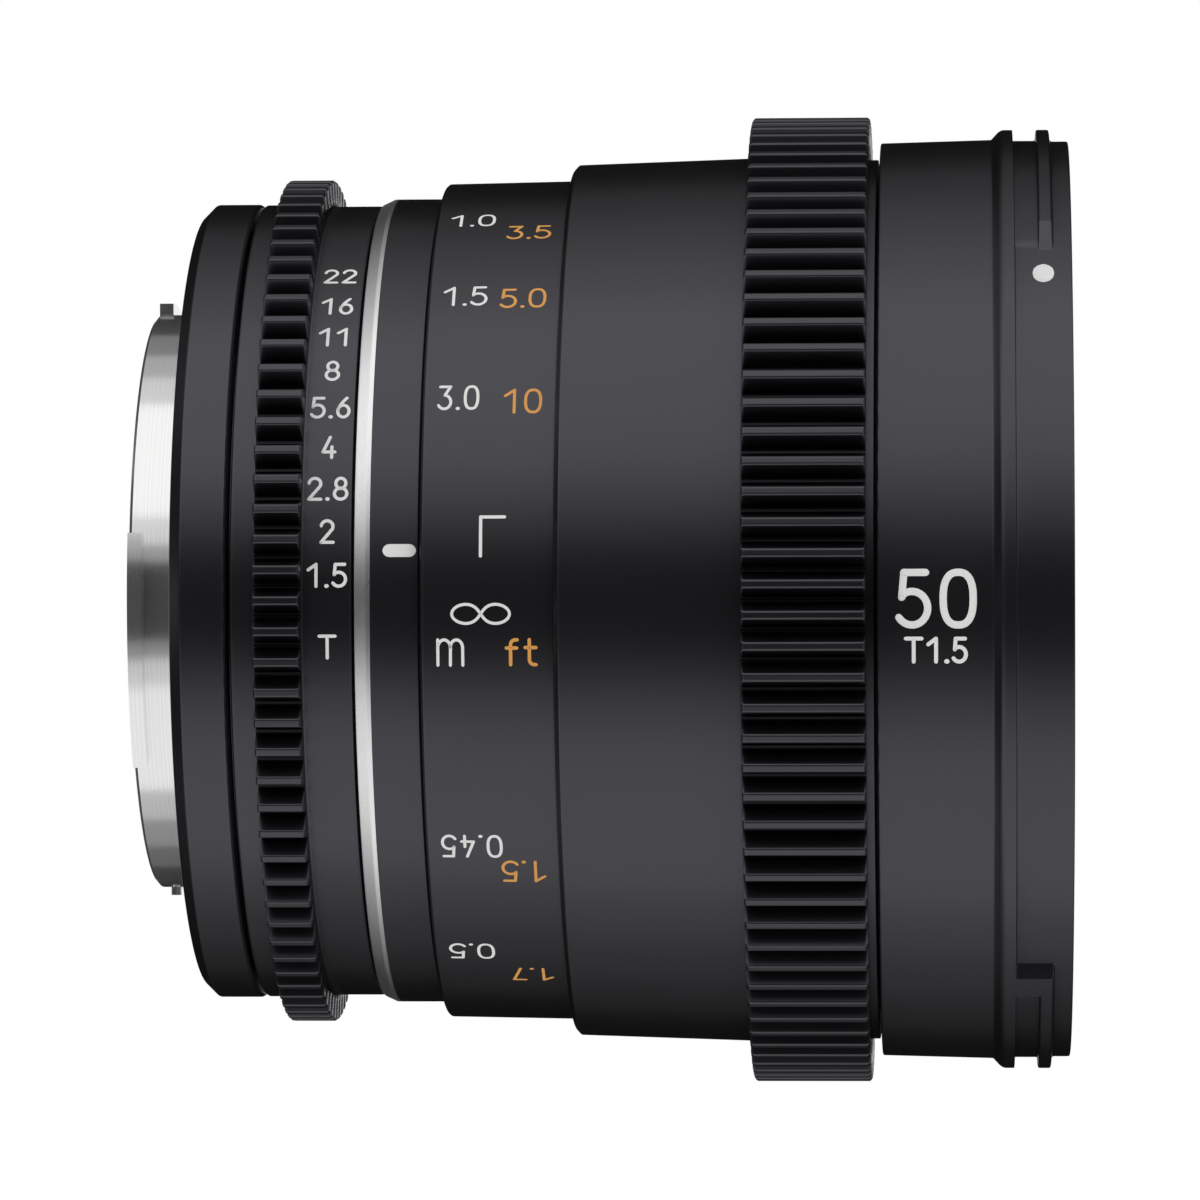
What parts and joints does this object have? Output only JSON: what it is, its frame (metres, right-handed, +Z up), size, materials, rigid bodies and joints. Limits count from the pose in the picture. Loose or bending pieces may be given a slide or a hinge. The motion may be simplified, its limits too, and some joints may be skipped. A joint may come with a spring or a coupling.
{
  "type": "cinema prime lens",
  "caption": "Manual cinema prime lens with geared focus and aperture rings, distance and T scales, a bayonet mount, a filter thread and a hood bayonet.",
  "frame": {"origin": "centre of the bayonet mount's flange face, on the optical axis", "axes": "+X along the optical axis towards the front glass, +Z up, with the index marks facing -Y"},
  "size_m": [0.0794, 0.084, 0.084],
  "materials": {
    "black_anodised": "black anodised, fine satin",
    "matt_black": "matt black",
    "inner_metal": "dark anodised, turned",
    "mount_chrome": "satin chrome, turned",
    "bright_ring": "clear anodised",
    "screw_steel": "turned steel",
    "bearing_brass": "turned brass",
    "bearing_polymer": "dark filled bearing plastic",
    "coated_glass": "polished, multi-coated",
    "blade_black": "dry black lacquer"
  },
  "bodies": {
    "barrel": {"bayonet_mount": "mount_chrome", "bayonet_stop_pin": "mount_chrome", "mount_screws": "screw_steel", "rear_baffle": "matt_black", "rear_housing": "black_anodised", "guide_barrel": "inner_metal", "guide_screws": "screw_steel", "accent_ring": "bright_ring", "index_ring": "black_anodised", "index_screws": "screw_steel", "focus_stop_pin": "screw_steel", "rear_thrust_washer": "bearing_polymer", "front_thrust_washer": "bearing_polymer", "front_barrel": "black_anodised", "front_barrel_screws": "screw_steel", "front_trim_ring": "matt_black"},
    "aperture": {"aperture_ring": "black_anodised", "iris_drive_fork": "screw_steel", "fork_screws": "screw_steel"},
    "focus": {"focus_scale_ring": "black_anodised", "focus_barrel": "black_anodised", "focus_gear_ring": "black_anodised", "cam_sleeve": "inner_metal", "cam_sleeve_screws": "screw_steel"},
    "carriage": {"lens_carriage": "inner_metal", "follower_rollers": "bearing_brass", "follower_screws": "screw_steel", "front_cell": "matt_black", "front_retaining_ring": "matt_black", "doublet_retaining_ring": "matt_black", "rear_cell": "matt_black", "rear_cell_screws": "screw_steel", "rear_retaining_ring": "matt_black", "rear_spacer_ring": "matt_black", "iris_base_plate": "inner_metal", "front_element": "coated_glass", "doublet_front_element": "coated_glass", "doublet_hollow_element": "coated_glass", "rear_hollow_element": "coated_glass", "rear_pair_element": "coated_glass", "third_group_element": "coated_glass", "third_group_flint": "coated_glass", "field_element": "coated_glass", "rear_element": "coated_glass"},
    "iris_cam": {"iris_cam_ring": "inner_metal", "iris_drive_finger": "screw_steel"},
    "blade_1": {"iris_blade_1": "blade_black"},
    "blade_2": {"iris_blade_2": "blade_black"},
    "blade_3": {"iris_blade_3": "blade_black"},
    "blade_4": {"iris_blade_4": "blade_black"},
    "blade_5": {"iris_blade_5": "blade_black"},
    "blade_6": {"iris_blade_6": "blade_black"},
    "blade_7": {"iris_blade_7": "blade_black"},
    "blade_8": {"iris_blade_8": "blade_black"}
  },
  "joints": [
    {"name": "focus_turn", "type": "hinge", "parent": "barrel", "child": "focus", "pos_m": [0.04, 0, 0], "axis": [1, 0, 0], "range_deg": [0, 144]},
    {"name": "carriage_slide", "type": "slide", "parent": "barrel", "child": "carriage", "axis": [1, 0, 0], "range_m": [0, 0.0076]},
    {"name": "aperture_turn", "type": "hinge", "parent": "barrel", "child": "aperture", "pos_m": [0.01, 0, 0], "axis": [1, 0, 0], "range_deg": [-3.5, 45.9]},
    {"name": "iris_cam_turn", "type": "hinge", "parent": "carriage", "child": "iris_cam", "pos_m": [0.0288, 0, 0], "axis": [1, 0, 0], "range_deg": [-3.5, 45.9]},
    {"name": "blade_1_turn", "type": "hinge", "parent": "carriage", "child": "blade_1", "pos_m": [0.0305, 0, 0.0232], "axis": [1, 0, 0], "range_deg": [-2.6, 33.95]},
    {"name": "blade_2_turn", "type": "hinge", "parent": "carriage", "child": "blade_2", "pos_m": [0.0305, -0.0164, 0.0164], "axis": [1, 0, 0], "range_deg": [-2.6, 33.95]},
    {"name": "blade_3_turn", "type": "hinge", "parent": "carriage", "child": "blade_3", "pos_m": [0.0305, -0.0232, 0], "axis": [1, 0, 0], "range_deg": [-2.6, 33.95]},
    {"name": "blade_4_turn", "type": "hinge", "parent": "carriage", "child": "blade_4", "pos_m": [0.0305, -0.0164, -0.0164], "axis": [1, 0, 0], "range_deg": [-2.6, 33.95]},
    {"name": "blade_5_turn", "type": "hinge", "parent": "carriage", "child": "blade_5", "pos_m": [0.0305, 0, -0.0232], "axis": [1, 0, 0], "range_deg": [-2.6, 33.95]},
    {"name": "blade_6_turn", "type": "hinge", "parent": "carriage", "child": "blade_6", "pos_m": [0.0305, 0.0164, -0.0164], "axis": [1, 0, 0], "range_deg": [-2.6, 33.95]},
    {"name": "blade_7_turn", "type": "hinge", "parent": "carriage", "child": "blade_7", "pos_m": [0.0305, 0.0232, 0], "axis": [1, 0, 0], "range_deg": [-2.6, 33.95]},
    {"name": "blade_8_turn", "type": "hinge", "parent": "carriage", "child": "blade_8", "pos_m": [0.0305, 0.0164, 0.0164], "axis": [1, 0, 0], "range_deg": [-2.6, 33.95]}
  ],
  "couplings": [
    {"joint": "carriage_slide", "follows": "focus_turn", "m_per_rad": 0.0030239},
    {"joint": "iris_cam_turn", "follows": "aperture_turn", "ratio": 1},
    {"joint": "blade_1_turn", "follows": "aperture_turn", "ratio": 0.73935},
    {"joint": "blade_2_turn", "follows": "aperture_turn", "ratio": 0.73935},
    {"joint": "blade_3_turn", "follows": "aperture_turn", "ratio": 0.73935},
    {"joint": "blade_4_turn", "follows": "aperture_turn", "ratio": 0.73935},
    {"joint": "blade_5_turn", "follows": "aperture_turn", "ratio": 0.73935},
    {"joint": "blade_6_turn", "follows": "aperture_turn", "ratio": 0.73935},
    {"joint": "blade_7_turn", "follows": "aperture_turn", "ratio": 0.73935},
    {"joint": "blade_8_turn", "follows": "aperture_turn", "ratio": 0.73935}
  ]
}
